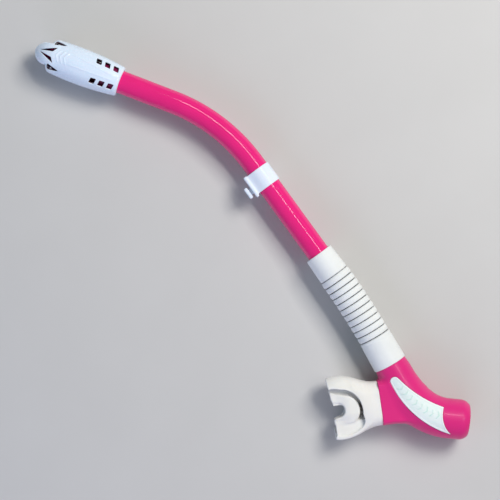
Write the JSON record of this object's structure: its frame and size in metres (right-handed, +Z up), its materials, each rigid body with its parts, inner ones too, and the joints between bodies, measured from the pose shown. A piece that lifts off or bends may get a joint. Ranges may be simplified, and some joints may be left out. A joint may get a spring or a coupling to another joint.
{
  "type": "snorkel tube",
  "caption": "Snorkel with a vented dry cap, bent barrel, sliding strap keeper, corrugated silicone hose, purge drum and silicone mouthpiece.",
  "frame": {"origin": "on the straight barrel's axis, at the strap keeper's place at rest", "axes": "+X along the straight barrel towards the vented cap, +Y towards the wearer's side that the barrel bends to and the mouthpiece faces, +Z up from the surface that the snorkel lies on"},
  "size_m": [0.4606, 0.1192, 0.0342],
  "materials": {
    "cap_white": "glossy",
    "valve_pink": "satin",
    "clear_silicone": "satin",
    "float_foam": "matte",
    "pin_steel": "brushed",
    "barrel_pink": "glossy",
    "hose_silicone": "matte",
    "body_pink": "satin",
    "panel_white": "satin",
    "valve_white": "matte",
    "mouth_silicone": "satin"
  },
  "bodies": {
    "barrel": {"barrel_tube": "barrel_pink", "cap_shell": "cap_white", "splash_guard": "valve_pink", "valve_housing": "valve_pink", "tube_gasket": "clear_silicone", "seat_gasket": "clear_silicone", "flap_pin": "pin_steel"},
    "keeper": {"strap_keeper": "cap_white"},
    "float": {"float": "float_foam"},
    "flap": {"flap_arm": "valve_pink", "flap_seal": "clear_silicone"},
    "hose": {"flex_hose": "hose_silicone"},
    "lower": {"lower_body": "body_pink", "side_panel_front": "panel_white", "side_panel_back": "panel_white", "purge_seat": "valve_white", "purge_cover": "body_pink", "mouthpiece": "mouth_silicone"},
    "diaphragm": {"purge_diaphragm": "clear_silicone"}
  },
  "joints": [
    {"name": "keeper_slide", "type": "slide", "parent": "barrel", "child": "keeper", "axis": [1, 0, 0], "range_m": [-0.065, 0.005]},
    {"name": "hose_flex", "type": "hinge", "parent": "barrel", "child": "hose", "pos_m": [-0.12919, 0.00078, 0], "axis": [0, 0, 1], "range_deg": [-55, 30], "stiffness_Nm_per_rad": 0.2, "deforming": ["flex_hose"]},
    {"name": "lower_turn", "type": "hinge", "parent": "hose", "child": "lower", "pos_m": [-0.18385, 0.00574, 0], "axis": [-0.9945, 0.1045, 0], "continuous": true},
    {"name": "float_rise", "type": "slide", "parent": "barrel", "child": "float", "axis": [0.8387, 0.5446, 0], "range_m": [0, 0.0032]},
    {"name": "flap_close", "type": "hinge", "parent": "barrel", "child": "flap", "pos_m": [0.17563, 0.06671, 0], "axis": [0, 0, 1], "range_deg": [0, 25]},
    {"name": "purge_open", "type": "slide", "parent": "lower", "child": "diaphragm", "axis": [-0.6691, -0.7431, 0], "range_m": [0, 0.001]}
  ],
  "couplings": [
    {"joint": "flap_close", "follows": "float_rise", "rad_per_m": 136.35}
  ]
}
